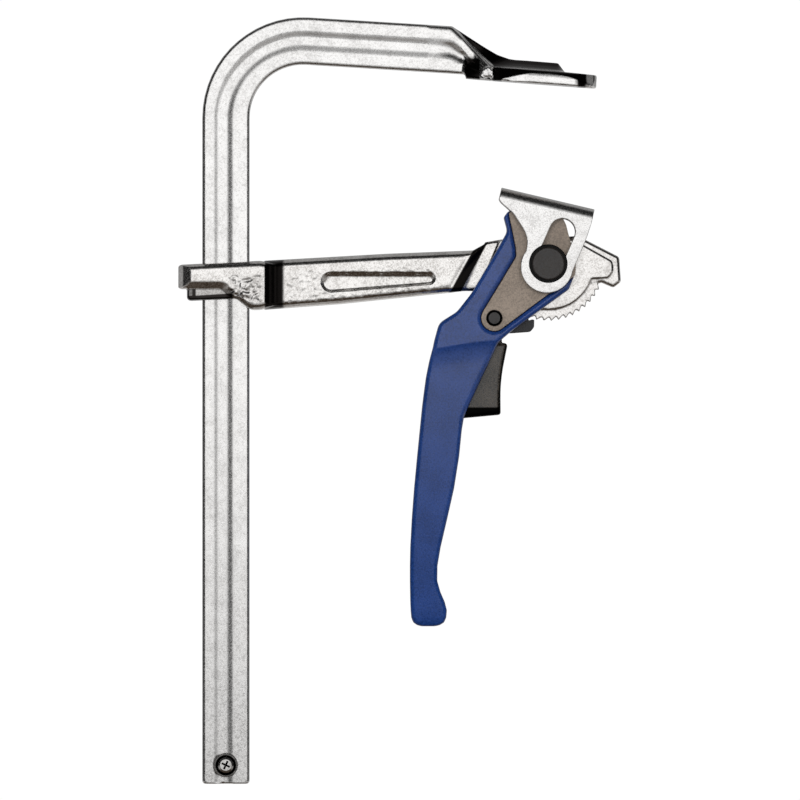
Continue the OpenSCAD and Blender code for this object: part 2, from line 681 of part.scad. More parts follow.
module pad_washer() at_pivot() difference() {
    union() {
        rod(washer_r, -washer_seat - washer_t + 0.4, -washer_seat);
        rod(washer_r - 0.4, -washer_seat - washer_t, -washer_seat - washer_t + 0.4, tip_r = washer_r);
    }
    rod(pin_r + pin_gap, -head_seat, 0);
}
module pad_washer_front() color(black_oxide) pad_washer();
module pad_washer_rear() color(black_oxide) mirror([0, 1, 0]) pad_washer();

// ---- Pressure plate: bent sheet with two slotted cheeks ----

cheek_reach = 60;
module arch_shape(half, top, r) {
    translate([-half, -cheek_reach]) square([2 * half, cheek_reach + top - r]);
    translate([-half + r, 0]) square([2 * (half - r), top]);
    for (side = [-1, 1]) translate([side * (half - r), top - r]) circle(r);
}

module pressure_plate() color(nickel) at_pivot() difference() {
    intersection() {
        rotate([0, plate_tilt, 0]) translate([-plate_back, 0, 0]) rotate([90, 0, 90])
            linear_extrude(plate_back + plate_front) difference() {
                arch_shape(plate_out, plate_height, sheet_bend_r);
                arch_shape(plate_in, plate_height - sheet_t, sheet_bend_r - sheet_t);
            }
        plate(-plate_out - overshoot, plate_out + overshoot) {
            polygon(outline(cheek_corners));
            translate(-slot_way * slot_fall) circle(lobe_r);
        }
    }
    plate(-plate_out - overshoot, plate_out + overshoot)
        hull() for (end = [-slot_fall, slot_rise]) translate(slot_way * end) circle(slot_half);
}

// ---- Lever with its two cam plates ----

// Rounded section of the grip, seen from above
function grip_ring(down, back, front, half, edge) =
    let (r = min(edge, (front - back) / 2 - 0.1))
    [for (p = outline([[back, -half, r], [front, -half, r], [front, half, r], [back, half, r]]))
        [p.x, p.y, -down]];
function grip_drop_at(down) =
    let (fixed = grip_stations[7][0], drawn = grip_end[len(grip_end) - 1][0])
    down < fixed ? down : fixed + (down - fixed) * (grip_drop - fixed) / (drawn - fixed);

module grip() {
    lowest = grip_stations[len(grip_stations) - 1];
    skin(concat(
        [for (st = grip_stations)
            grip_ring(grip_drop_at(st[0]), st[1], st[2], mix(grip_t / 2, cheek_out, st[3]), lever_edge_r)],
        [for (st = grip_end)
            grip_ring(grip_drop_at(st[0]), lowest[1] + st[1], lowest[2] - st[1] * 1.1,
                grip_t / 2 - st[1] * 0.5, lever_edge_r)]
    ));
}

module cam_shape() {
    polygon(outline(cam_corners));
    translate(pawl_axis) circle(cam_foot_r);
}

module fork_gap() plate(-cheek_in, cheek_in) {
    polygon(outline(cavity_corners));
    circle(cavity_r);
}

module lever_body() color(lever_blue) at_pivot() difference() {
    union() {
        slab(fork_corners, forged_layers(cheek_out, lever_edge_r));
        grip();
    }
    fork_gap();
    both_sides() plate(-cheek_out - overshoot, -cam_seat) offset(delta = cam_seat_gap) cam_shape();
    rod(pin_r + pin_gap, -cheek_out, cheek_out);
    rod(pawl_pin_r + pin_gap, -cheek_out, cheek_out, pawl_axis);
}

module cam_plate() at_pivot() difference() {
    plate(-cam_out, -cam_seat) cam_shape();
    rod(pin_r + pin_gap, -cheek_out, 0);
    rod(pawl_pin_r + pin_gap, -cheek_out, 0, pawl_axis);
}
module cam_plate_front() color(taupe) cam_plate();
module cam_plate_rear() color(taupe) mirror([0, 1, 0]) cam_plate();

// ---- Pawl, trigger, their pin and their spring ----

pawl_head_h = 0.9;
pawl_tenon_r = pawl_pin_r - 0.8;
module pawl_pin_head() {
    rod(pawl_head_r, -cam_out - 0.5, -cam_out, pawl_axis);
    rod(pawl_head_r - 0.7, -cam_out - pawl_head_h, -cam_out - 0.5, pawl_axis, tip_r = pawl_head_r);
}

module pawl_pin() color(black_oxide) at_pivot() {
    rod(pawl_pin_r, -cam_out - 0.2, cam_out, pawl_axis);
    rod(pawl_tenon_r, 0, cam_out + pawl_head_h - 0.2, pawl_axis);
    pawl_pin_head();
}

module pawl_pin_cap() color(black_oxide) at_pivot() difference() {
    mirror([0, 1, 0]) pawl_pin_head();
    rod(pawl_tenon_r + pin_gap, 0, cheek_out, pawl_axis);
}

// The pawl's edge is what is left when the toothed rim has swept in and out of it
module pawl_shape() difference() {
    union() {
        polygon(outline(pawl_corners));
        translate(pawl_axis) circle(pawl_hub_r);
    }
    circle(tooth_tip_r + tip_gap);
    for (step = [1:engage_steps])
        turned_about(pawl_axis, -engage_turn * step / engage_steps)
            offset(delta = tip_gap) {
                circle(tooth_root_r);
                teeth_shape();
            }
}

module pawl() color(black_oxide) at_pivot() difference() {
    union() {
        plate(-rim_t / 2, rim_t / 2) pawl_shape();
        both_sides() plate(-flange_seat - flange_t, -rim_t / 2 + 0.5)
            intersection() {
                polygon(outline(flange_corners));
                pawl_shape();
            }
    }
    both_sides() rod(relief_r, -rim_t, -pawl_hub_t / 2, pawl_axis);
    rod(pawl_pin_r + pin_gap, -head_t, head_t, pawl_axis);
}

module trigger() color(black_plastic) at_pivot() difference() {
    union() {
        slab(trigger_corners, forged_layers(trigger_half, 1));
        both_sides() plate(-trigger_half, -ear_seat) {
            polygon(outline(ear_corners));
            translate(pawl_axis) circle(ear_r);
        }
    }
    rod(pawl_pin_r + pin_gap, -head_t, head_t, pawl_axis);
}

// Centre line of the spring: leg to the spine, coil, leg to the trigger
coil_from = 150;
coil_turn = 360 * spring_turns;
function coil_point(a) =
    let (p = pawl_axis + polar(coil_r, coil_from + a))
    [p.x, -coil_seat - coil_pitch * a / 360, p.y];
function coil_way(a, sign) =
    let (w = left_of(polar(1, coil_from + a))) [w.x * sign, 0, w.y * sign];
spring_path = concat(
    [for (d = [5, 2.5]) coil_point(0) + coil_way(0, -1) * d],
    [for (a = [0:coil_step:coil_turn]) coil_point(a)],
    [for (d = [2.5, 5]) coil_point(coil_turn) + coil_way(coil_turn, 1) * d]
);
function wire_ring(path, k) =
    let (
        way = unit(path[min(k + 1, len(path) - 1)] - path[max(k - 1, 0)]),
        out = unit(cross(way, [0, 1, 0])),
        up = cross(out, way)
    )
    [for (i = [0:wire_sides - 1])
        path[k] + wire_r * (out * cos(360 * i / wire_sides) + up * sin(360 * i / wire_sides))];

module trigger_spring() color(zinc) at_pivot()
    skin([for (k = [0:len(spring_path) - 1]) wire_ring(spring_path, k)]);

rail();
stop_screw();
stop_cup_washer();
stop_flat_washer();
stop_nut();
sliding_arm();
pivot_pin();
pivot_pin_cap();
pad_washer_front();
pad_washer_rear();
pressure_plate();
lever_body();
cam_plate_front();
cam_plate_rear();
pawl_pin();
pawl_pin_cap();
pawl();
trigger();
trigger_spring();
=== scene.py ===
# %% [markdown]
# # A ratcheting lever clamp, dressed
#
# The solids of the clamp come ready made and packed: a bent rail with a forged jaw, an arm that
# slides on it, and a blue lever with its ratchet. This lesson gives them their surfaces and puts
# them in a white studio. X runs out along the jaws, Y from the front to the back, and Z up along
# the rail. The origin is the middle of the fixed jaw's clamping face.

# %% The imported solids
import json
import math

import bpy
import numpy as np
from mathutils import Vector, noise
from mathutils.kdtree import KDTree
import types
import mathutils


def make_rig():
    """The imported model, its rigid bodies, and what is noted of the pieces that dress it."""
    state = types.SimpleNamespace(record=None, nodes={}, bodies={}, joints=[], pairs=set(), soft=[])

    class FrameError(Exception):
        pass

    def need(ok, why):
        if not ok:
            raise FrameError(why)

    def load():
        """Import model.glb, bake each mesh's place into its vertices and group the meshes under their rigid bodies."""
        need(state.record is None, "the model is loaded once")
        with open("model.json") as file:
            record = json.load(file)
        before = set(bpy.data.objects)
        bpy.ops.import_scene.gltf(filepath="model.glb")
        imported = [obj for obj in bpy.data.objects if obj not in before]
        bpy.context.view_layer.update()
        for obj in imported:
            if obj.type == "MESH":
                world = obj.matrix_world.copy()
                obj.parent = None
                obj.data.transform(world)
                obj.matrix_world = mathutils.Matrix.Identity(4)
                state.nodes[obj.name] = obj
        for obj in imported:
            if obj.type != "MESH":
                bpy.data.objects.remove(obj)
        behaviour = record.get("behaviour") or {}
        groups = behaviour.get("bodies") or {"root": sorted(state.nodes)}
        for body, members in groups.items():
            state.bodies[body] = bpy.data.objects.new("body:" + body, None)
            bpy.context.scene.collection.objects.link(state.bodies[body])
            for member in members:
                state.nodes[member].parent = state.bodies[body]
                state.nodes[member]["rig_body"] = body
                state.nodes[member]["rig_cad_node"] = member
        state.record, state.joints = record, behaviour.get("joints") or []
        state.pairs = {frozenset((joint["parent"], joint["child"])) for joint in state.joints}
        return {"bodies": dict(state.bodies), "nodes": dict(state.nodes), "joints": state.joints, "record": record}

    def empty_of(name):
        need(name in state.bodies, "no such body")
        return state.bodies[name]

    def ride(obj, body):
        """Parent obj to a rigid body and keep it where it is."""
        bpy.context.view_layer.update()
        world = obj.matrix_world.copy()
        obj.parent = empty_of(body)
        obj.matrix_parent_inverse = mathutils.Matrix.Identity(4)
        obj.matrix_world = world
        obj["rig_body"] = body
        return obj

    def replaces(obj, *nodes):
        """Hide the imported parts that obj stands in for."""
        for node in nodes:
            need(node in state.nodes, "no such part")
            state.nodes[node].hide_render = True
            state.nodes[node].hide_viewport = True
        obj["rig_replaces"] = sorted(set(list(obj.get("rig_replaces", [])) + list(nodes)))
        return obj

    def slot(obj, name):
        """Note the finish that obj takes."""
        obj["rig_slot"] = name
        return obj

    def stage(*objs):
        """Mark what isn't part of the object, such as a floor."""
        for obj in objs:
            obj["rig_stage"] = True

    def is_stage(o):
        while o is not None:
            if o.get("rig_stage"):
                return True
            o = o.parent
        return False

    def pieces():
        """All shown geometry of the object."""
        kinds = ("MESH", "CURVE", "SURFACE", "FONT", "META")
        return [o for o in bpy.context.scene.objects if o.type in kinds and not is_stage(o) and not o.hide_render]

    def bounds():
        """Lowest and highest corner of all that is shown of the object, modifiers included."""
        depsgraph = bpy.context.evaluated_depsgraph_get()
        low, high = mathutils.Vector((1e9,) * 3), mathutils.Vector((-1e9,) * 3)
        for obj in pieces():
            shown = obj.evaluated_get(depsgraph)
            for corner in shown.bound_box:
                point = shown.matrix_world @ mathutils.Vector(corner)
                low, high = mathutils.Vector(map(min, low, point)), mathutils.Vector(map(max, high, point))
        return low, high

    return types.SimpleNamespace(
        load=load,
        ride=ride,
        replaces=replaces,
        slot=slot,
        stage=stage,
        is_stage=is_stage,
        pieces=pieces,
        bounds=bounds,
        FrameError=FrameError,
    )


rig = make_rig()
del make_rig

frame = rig.load()
cad_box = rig.bounds()
nodes = frame["nodes"]
MM = 0.001
print("solids:", len(nodes), "bodies:", len(frame["bodies"]))

# %% [markdown]
# ## Shader arithmetic
#
# A finish is a small sum: grain plus cloud, times a mask. Nodes could be placed and linked one
# by one, but the sum is hard to read that way. Here a `Value` stands for one output of a node,
# and plus, minus and times add the Math nodes.

# %% One value of a shader
class Value:
    def __init__(self, finish, socket):
        self.finish, self.socket = finish, socket

    def combine(self, operation, first, second):
        return self.finish.node("ShaderNodeMath", {"operation": operation}, {0: first, 1: second})

    def __add__(self, other):
        return self.combine("ADD", self, other)

    def __sub__(self, other):
        return self.combine("SUBTRACT", self, other)

    def __rsub__(self, other):
        return self.combine("SUBTRACT", other, self)

    def __mul__(self, other):
        return self.combine("MULTIPLY", self, other)

    def __pow__(self, other):
        return self.combine("POWER", self, other)

    __radd__, __rmul__ = __add__, __mul__

    def size(self):
        return self.combine("ABSOLUTE", self, 0.0)

    def between(self, low, high, start=0.0, end=1.0):
        """start below low, end above high, and a smooth way between; low may be the higher one."""
        return self.finish.node(
            "ShaderNodeMapRange", {"clamp": True, "interpolation_type": "SMOOTHSTEP"},
            {0: self, 1: low, 2: high, 3: start, 4: end})


def methods(kind):
    """The names of what a class can do."""
    return ", ".join(name for name, what in vars(kind).items() if callable(what))


print("a value knows:", methods(Value))

# %% [markdown]
# ## One finish
#
# A `Finish` is one material, or the world. `node` adds any node: first its settings, then the
# values or links of its sockets. The other calls are the few patterns that all the finishes here
# share: grain, a mix of two colours, and bumps.

# %% A material or the world as a finish
class Finish:
    def __init__(self, name, world=None):
        self.material = bpy.data.materials.new(name) if world is None else None
        holder = world or self.material
        holder.use_nodes = True
        self.tree = holder.node_tree
        self.place = self.node("ShaderNodeTexCoord", out="Generated" if world else "Object")
        self.axes = {}

    def node(self, kind, settings=None, sockets=None, out=0):
        made = self.tree.nodes.new(kind)
        for name, value in (settings or {}).items():
            setattr(made, name, value)
        for name, value in (sockets or {}).items():
            self.put(value, made.inputs[name])
        return Value(self, made.outputs[out])

    def put(self, value, socket):
        if isinstance(value, Value):
            self.tree.links.new(value.socket, socket)
        else:
            socket.default_value = value

    def axis(self, letter, scale=1.0 / MM):
        """X, Y or Z of the place on the piece, in millimetres; scale 1 gives it as it is."""
        if letter not in self.axes:
            split = self.node("ShaderNodeSeparateXYZ", {}, {0: self.place}, letter)
            self.axes[letter] = split * scale
        return self.axes[letter]

    def grain(self, size_mm, detail=2.0, roughness=0.55):
        """A noise that goes from 0 to 1, with lumps of about this size."""
        return self.node("ShaderNodeTexNoise", {}, {
            "Vector": self.place, "Scale": 1.0 / (size_mm * MM),
            "Detail": detail, "Roughness": roughness})

    def mix(self, share, low, high):
        """The colour low where share is 0, and high where it is 1."""
        low, high = (c if isinstance(c, Value) else (*c, 1.0) for c in (low, high))
        return self.node("ShaderNodeMix", {"data_type": "RGBA"}, {0: share, 6: low, 7: high}, 2)

    def bumps(self, height, depth_mm):
        return self.node("ShaderNodeBump", {}, {
            "Height": height, "Strength": 1.0, "Distance": depth_mm * MM})

    def coat(self, **sockets):
        """The material, with sockets such as base_color and roughness set or linked."""
        shader = self.tree.nodes["Principled BSDF"]
        for name, value in sockets.items():
            title = name.replace("_", " ").title().replace("Ior", "IOR")
            self.put(value, shader.inputs[title])
        return self.material


print("a finish knows:", methods(Finish))

# %% [markdown]
# ## Satin nickel
#
# The rail, the arm and the pressure plate are steel, blasted with fine grit and plated with
# satin nickel. A plain mirror would be too clean: the blasting leaves pits smaller than a
# millimetre, which show as a fine salt and pepper. So one fine noise steers the colour and the
# bumps together, and a slow cloud varies it from place to place. Where a piece has painted shade,
# which is the next step, the steel is painted nearly black there and its pits are shallower.

# %% The plated grades
BLOTCH_GRAINS, CLOUD_MM = 7.0, 30.0
PIT_SHARE, BLOTCH_SHARE, CLOUD_SHARE = 0.65, 0.20, 0.15
PIT_CONTRAST = 0.7
NICKEL_SPREAD, GRAIN_SPREAD = (0.34, 0.60), (0.35, 0.65)
NICKEL_WORN = 0.10
# The colour of the painted shade, and how deep the pits stay under it.
PAINTED_SHADE_COLOUR, SHADED_PIT_DEPTH = (0.022, 0.019, 0.018), 0.2


def satin_nickel(name, grain_mm, depth_mm, roughness, dark, light, scale=None):
    f = Finish(name)
    pits = f.grain(grain_mm, roughness=PIT_CONTRAST)
    blotch, cloud = f.grain(grain_mm * BLOTCH_GRAINS), f.grain(CLOUD_MM, detail=3.0)
    mottle = pits * PIT_SHARE + blotch * BLOTCH_SHARE + cloud * CLOUD_SHARE
    colour, relief = f.mix(mottle.between(*NICKEL_SPREAD), dark, light), pits
    # scale is a mask of painted shade: where it is 1 the steel is painted nearly black, a painted dark reflection, and
    # its pits are shallower.
    if scale is not None:
        unshaded = (1.0 - scale(f)).between(0.0, 1.0)
        colour = f.mix(unshaded, PAINTED_SHADE_COLOUR, colour)
        relief = pits * (unshaded * (1.0 - SHADED_PIT_DEPTH) + SHADED_PIT_DEPTH)
    rough = pits.between(*GRAIN_SPREAD, roughness, roughness + NICKEL_WORN)
    return f.coat(base_color=colour, metallic=1.0, roughness=rough,
                  normal=f.bumps(relief, depth_mm))


PLATE = satin_nickel("satin_nickel_sheet", grain_mm=0.7, depth_mm=0.009, roughness=0.17,
                     dark=(0.56, 0.55, 0.54), light=(0.90, 0.89, 0.88))
print(PLATE.name, "nodes:", len(PLATE.node_tree.nodes))


# %% [markdown]
# ## Painted shade
#
# The hollow where the jaw grows out of the rail, its steep shoulders and the ends of its rim,
# and the flanks of the arm's collar and neck turn away from the light, so painted shade makes
# them dark there, standing for the dark they would mirror. It could be painted on an image, but an
# image needs a flat layout of the surface. A mask made of the place on the piece, in millimetres, needs none.

# %% Painted shade on the jaw
HEEL = (-28.6, 9.2)
PLATE_FALL, SHOULDER_FALL = 0.066, 0.987
SHOULDER_START = (-53.0, -50.0)
HOLLOW_START, HOLLOW_END, HOLLOW_TOP = (-45.4, -43.6), (-35.5, -37.0), (16.0, 12.6)
ARC_TOP, ARC_MIDDLE, ARC_FALL = 5.7, -5.0, 0.0083
RIM_START, RIM_END = (-29.6, -28.4), (21.0, 18.5)
UNSHADED_START, UNSHADED_END = (-25.4, -24.2), (16.2, 15.0)
PLATE_SOFT, SHOULDER_SOFT, ARC_SOFT, RIM_SOFT = (0.1, 0.7), (0.2, 0.9), (-0.1, 0.5), (0.1, -0.4)


# Painted shade: the shoulders, the hollow at the root, and the ends and top of the rim are painted dark, as dark
# reflections.
def shade_on_jaw(f):
    x, z = f.axis("X"), f.axis("Z")
    over_plate = z - HEEL[1] + (x - HEEL[0]) * PLATE_FALL
    over_shoulder = z - HEEL[1] + (x - HEEL[0]) * SHOULDER_FALL
    above = over_plate.between(*PLATE_SOFT) * over_shoulder.between(*SHOULDER_SOFT)
    hollow = x.between(*HOLLOW_START) * x.between(*HOLLOW_END) * z.between(*HOLLOW_TOP)
    over_arc = (z - ARC_TOP + (x - ARC_MIDDLE) ** 2.0 * ARC_FALL).between(*ARC_SOFT)
    rim_ends = 1.0 - x.between(*UNSHADED_START) * x.between(*UNSHADED_END)
    on_rim = x.between(*RIM_START) * x.between(*RIM_END) * over_plate.between(*RIM_SOFT)
    return above * x.between(*SHOULDER_START) + hollow + on_rim * (over_arc + rim_ends)


RAIL = satin_nickel("satin_nickel_rail", grain_mm=0.9, depth_mm=0.015, roughness=0.18,
                    dark=(0.58, 0.57, 0.56), light=(0.93, 0.92, 0.91), scale=shade_on_jaw)
print(RAIL.name, "nodes:", len(RAIL.node_tree.nodes))

# %% [markdown]
# ## Painted shade on the arm
#
# The neck has a slanted band of painted shade, and the slope behind the collar, which turns away
# from the light, is painted black all over. The collar's cheek is painted only a little darker.
# Its lower strap is painted half dark, with a black foot and end and a greyer rim.

# %% Painted shade on the neck, the slope and the collar
NECK_FLANK, FLANK_LEAN = (-35.4, -84.9), 0.548
FLANK_HALF, NECK_FOOT = (3.3, 2.3), (-112.0, -109.0)
SLOPE_START, SLOPE_END = (-150.6, -149.4), (-138.6, -141.6)
CHEEK_START, CHEEK_END, CHEEK_TOP = (-171.0, -167.0), (-149.4, -151.0), (-99.0, -102.0)
CHEEK_SHARE = 0.16
STRAP_START, STRAP_TOP, STRAP_FOOT = (-166.0, -168.0), (-107.8, -108.6), (-184.4, -111.75)
STRAP_END, STRAP_RIM, FOOT_SOFT = (-186.2, -187.0), (-188.0, -188.8), (0.4, -0.3)
STRAP_SHARE, STRAP_DARKER, RIM_PALER = 0.45, 0.5, 0.25


# Painted shade on the neck, the slope, the collar's cheek and its lower strap.
def shade_on_arm(f):
    x, z = f.axis("X"), f.axis("Z")
    off_middle = (x - NECK_FLANK[0] - (z - NECK_FLANK[1]) * FLANK_LEAN).size()
    neck = off_middle.between(*FLANK_HALF) * z.between(*NECK_FOOT)
    slope = x.between(*SLOPE_START) * x.between(*SLOPE_END)
    cheek = x.between(*CHEEK_START) * x.between(*CHEEK_END) * z.between(*CHEEK_TOP)
    foot = (z - STRAP_FOOT[1] - (x - STRAP_FOOT[0]) * PLATE_FALL).between(*FOOT_SOFT)
    dark = (foot + x.between(*STRAP_END)) * STRAP_DARKER - x.between(*STRAP_RIM) * RIM_PALER
    strap = x.between(*STRAP_START) * z.between(*STRAP_TOP) * (dark + STRAP_SHARE)
    return neck + slope + cheek * CHEEK_SHARE + strap


ARM = satin_nickel("satin_nickel_forging", grain_mm=0.9, depth_mm=0.018, roughness=0.17,
                   dark=(0.48, 0.46, 0.44), light=(0.92, 0.90, 0.88), scale=shade_on_arm)
print(ARM.name, "nodes:", len(ARM.node_tree.nodes))

# %% [markdown]
# ## Paint, blackened steel and plastic
#
# These are dark colours under a satin skin. Most of what the eye gets from them is the pale haze
# of the studio on that skin, so the colour below is kept deep, the specular level gives the haze,
# and the edges, which turn away from the light, fall back to the deep colour.

# %% Dark finishes
CLOUD_GRAINS, DEEP_SPREAD, DEEP_WORN = 14.0, (0.36, 0.62), 0.16
SPECK_SHARE = 0.7
BLACK = (0.002, 0.002, 0.002)


def deep_colour(name, dark, light, grain_mm, depth_mm, roughness, haze,
                metallic=0.0, black=None, skin=None):
    f = Finish(name)
    speck = f.grain(grain_mm, roughness=PIT_CONTRAST)
    cloud = f.grain(grain_mm * CLOUD_GRAINS, detail=3.0)
    mottle = speck * SPECK_SHARE + cloud * (1.0 - SPECK_SHARE)
    colour = f.mix(mottle.between(*DEEP_SPREAD), dark, light)
    # black is a mask of painted shade: where it is 1, the colour turns black and the haze goes with the metal.
    if black is not None:
        share = black(f)
        colour = f.mix(share, colour, BLACK)
        if metallic < 1.0:
            metallic = share * (1.0 - metallic) + metallic
    if skin is not None:
        f.coat(coat_weight=skin(f), coat_roughness=roughness)
    rough = speck.between(*GRAIN_SPREAD, roughness, roughness + DEEP_WORN)
    return f.coat(base_color=colour, metallic=metallic, roughness=rough,
                  normal=f.bumps(speck, depth_mm), specular_ior_level=haze)


PIN = deep_colour("worn_black_face", (0.004, 0.003, 0.003), (0.014, 0.010, 0.008),
                  grain_mm=0.8, depth_mm=0.045, roughness=0.34, haze=0.75)
OXIDE = deep_colour("black_oxide", (0.001, 0.001, 0.001), (0.004, 0.004, 0.004),
                    grain_mm=0.8, depth_mm=0.016, roughness=0.40, haze=0.15)
PAWL = deep_colour("black_pawl", (0.006, 0.006, 0.007), (0.016, 0.016, 0.019),
                   grain_mm=0.8, depth_mm=0.050, roughness=0.30, haze=0.42)
ZINC = deep_colour("bright_zinc", (0.55, 0.54, 0.52), (0.84, 0.83, 0.81),
                   grain_mm=0.5, depth_mm=0.010, roughness=0.20, haze=0.5, metallic=1.0)
WIRE = deep_colour("spring_wire", (0.30, 0.30, 0.30), (0.52, 0.52, 0.51),
                   grain_mm=0.4, depth_mm=0.010, roughness=0.26, haze=0.5, metallic=1.0)
print("materials so far:", len(bpy.data.materials))

# %% [markdown]
# ## Rivet, cam plate and trigger
#
# The rivet's face is worn grey inside a black ring, which is painted shade at the edge of its
# head, and a painted contact shadow darkens the cam plate round it. The trigger is painted black
# along its side and its foot, as painted shade where its edges turn away from the light. A mask
# drives the metallic value as well as the colour, because a black that isn't metal would still carry the pale haze.

# %% Painted shade: black ring, shadow on the plate, black rim
RIVET_AT, RIVET_RING, CONTACT_SHADOW_RING = (-28.5, -123.7), (2.9, 3.15), (4.6, 4.1)
TRIGGER_SIDE, TRIGGER_WAIST, TRIGGER_BOW = -25.75, -168.0, 0.0039
TRIGGER_SOFT, TRIGGER_FOOT = (-0.7, -0.1), (-170.2, -171.6)


def off_axis(f, centre):
    """How far a place is from an axis that runs from front to back."""
    return ((f.axis("X") - centre[0]) ** 2.0 + (f.axis("Z") - centre[1]) ** 2.0) ** 0.5


# Painted shade: a black ring round the edge of the rivet's head.
def rivet_ring(f):
    return off_axis(f, RIVET_AT).between(*RIVET_RING)


# A painted contact shadow on the cam plate round the rivet.
def painted_contact_shadow(f):
    return off_axis(f, RIVET_AT).between(*CONTACT_SHADOW_RING)


# Painted shade along the trigger's side and foot, where its rounded edges turn away from the light.
def trigger_rim(f):
    side = f.axis("X") - TRIGGER_SIDE - (f.axis("Z") - TRIGGER_WAIST) ** 2.0 * TRIGGER_BOW
    foot = f.axis("Z").between(*TRIGGER_FOOT)
    return (side.between(*TRIGGER_SOFT) + foot).between(0.0, 1.0)


RIVET = deep_colour("worn_black_rivet", (0.006, 0.005, 0.005), (0.020, 0.016, 0.015),
                    grain_mm=0.8, depth_mm=0.020, roughness=0.42, haze=0.85, black=rivet_ring)
# The cam plate's black mask is the ring of painted contact shadow.
CAM = deep_colour("hardened_cam_steel", (0.124, 0.096, 0.073), (0.224, 0.178, 0.140),
                  grain_mm=0.8, depth_mm=0.022, roughness=0.42, haze=0.7, black=painted_contact_shadow)
PLASTIC = deep_colour("black_moulded_plastic", (0.001, 0.001, 0.001), (0.040, 0.032, 0.024),
                      grain_mm=1.0, depth_mm=0.120, roughness=0.24, haze=0.80, black=trigger_rim)
print("materials so far:", len(bpy.data.materials))

# %% [markdown]
# ## Screw, cup and grip
#
# The screw's cross recess is painted black, as painted shade, and the cup under the screw has a grey
# rim round a hollow painted black, as painted shade. The grip's paint is glossy at the top and dull
# at the lower end: a clear skin over the paint gets thinner towards that end, a painted sheen that makes the top look
# better lit.

# %% Recess, hollow and skin
SCREW_AT, SCREW_FACE, RECESS_DEPTH = (-170.7, -360.5), -8.1, 0.3
CUP_HOLLOW = (5.7, 5.3)
SHEEN_FADE, GRIP_GLOSS = (-290.0, -120.0), (0.08, 1.0)


# Painted shade in the screw's cross recess.
def screw_recess(f):
    return f.axis("Y").between(SCREW_FACE - RECESS_DEPTH, SCREW_FACE)


# Painted shade in the cup's hollow.
def cup_hollow(f):
    return off_axis(f, SCREW_AT).between(*CUP_HOLLOW)


# A painted sheen: the clear skin is full at the top of the grip and thins towards its lower end, so the top looks
# better lit.
def painted_grip_sheen(f):
    return f.axis("Z").between(*SHEEN_FADE, *GRIP_GLOSS)


SCREW = deep_colour("cross_head_zinc", (0.50, 0.48, 0.46), (0.84, 0.83, 0.81),
                    grain_mm=0.5, depth_mm=0.010, roughness=0.18, haze=0.5,
                    metallic=1.0, black=screw_recess)
CUP = deep_colour("black_cup", (0.06, 0.06, 0.06), (0.20, 0.19, 0.18),
                  grain_mm=0.8, depth_mm=0.016, roughness=0.30, haze=0.5,
                  metallic=0.5, black=cup_hollow)
BLUE = deep_colour("blue_powder_coat", (0.002, 0.020, 0.100), (0.008, 0.035, 0.160),
                   grain_mm=0.95, depth_mm=0.060, roughness=0.26, haze=0.20, skin=painted_grip_sheen)
print("materials, with the record's own:", len(bpy.data.materials))

# %% [markdown]
# ## Soft edges
#
# No edge of a forging, a pressing or a painted casting is sharp: the die, the tumbler and the
# paint all round it. A bevel could round each edge, but it fails where many small faces meet.
# Each solid is cut instead into a fine even net and smoothed, which rounds every edge alike.

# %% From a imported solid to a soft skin
def even_net(source, cell_mm, rounds):
    piece = source.copy()
    piece.data = source.data.copy()
    bpy.context.scene.collection.objects.link(piece)
    net = piece.modifiers.new("net", "REMESH")
    net.mode, net.voxel_size, net.use_smooth_shade = "VOXEL", cell_mm * MM, True
    soft = piece.modifiers.new("soft", "SMOOTH")
    soft.factor, soft.iterations = 0.5, rounds
    shaped = piece.evaluated_get(bpy.context.evaluated_depsgraph_get())
    mesh = bpy.data.meshes.new_from_object(shaped)
    bpy.data.objects.remove(piece)
    return mesh


def reform(mesh, form):
    """Lets a form move the points of a mesh, which it gets in millimetres."""
    spots = np.empty(len(mesh.vertices) * 3)
    mesh.vertices.foreach_get("co", spots)
    spots = form(spots.reshape(-1, 3) / MM, mesh)
    mesh.vertices.foreach_set("co", (spots * MM).ravel())
    mesh.update()


def dress(node, slot, material, cell_mm, rounds, form=None):
    mesh = even_net(nodes[node], cell_mm, rounds)
    if form is not None:
        reform(mesh, form)
    mesh.materials.clear()
    mesh.materials.append(material)
    mesh.polygons.foreach_set("use_smooth", [True] * len(mesh.polygons))
    piece = bpy.data.objects.new(node + "_skin", mesh)
    bpy.context.scene.collection.objects.link(piece)
    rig.ride(piece, nodes[node]["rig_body"])
    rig.slot(piece, slot)
    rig.replaces(piece, node)
    print(node, "faces:", len(mesh.polygons))


# %% [markdown]
# ## Tools for forging and moulding
#
# Some forms are softer than the solids: the walls of a channel, the round of an outline, the
# ripple of a hammered face. They could be sculpted by hand, but then nobody could repeat them.
# Here each is a small sum that moves the points of the net, mostly along Y, and leaves the
# outline that the solid has. A test on the size of Y keeps a form to the broad faces, off the
# edges between them.

# %% Steps, windows and ripples
def smooth_step(value):
    value = np.clip(value, 0.0, 1.0)
    return value * value * (3.0 - 2.0 * value)


def window(value, low, high, soft):
    """1 between low and high, and a smooth way down to 0 outside."""
    return smooth_step((value - low) / soft + 0.5) * smooth_step((high - value) / soft + 0.5)


def crumple(spots, share, wave_mm, height_mm):
    """Raises and lowers the points along Y by a smooth noise, by their share of it."""
    index = np.flatnonzero(share > 0.0)
    rise = np.array([noise.noise(Vector(spots[k] / wave_mm)) for k in index])
    spots[index, 1] += np.sign(spots[index, 1]) * height_mm * rise * share[index]


print("halfway up a smooth step:", smooth_step(0.5), "and near its top:", smooth_step(0.9))


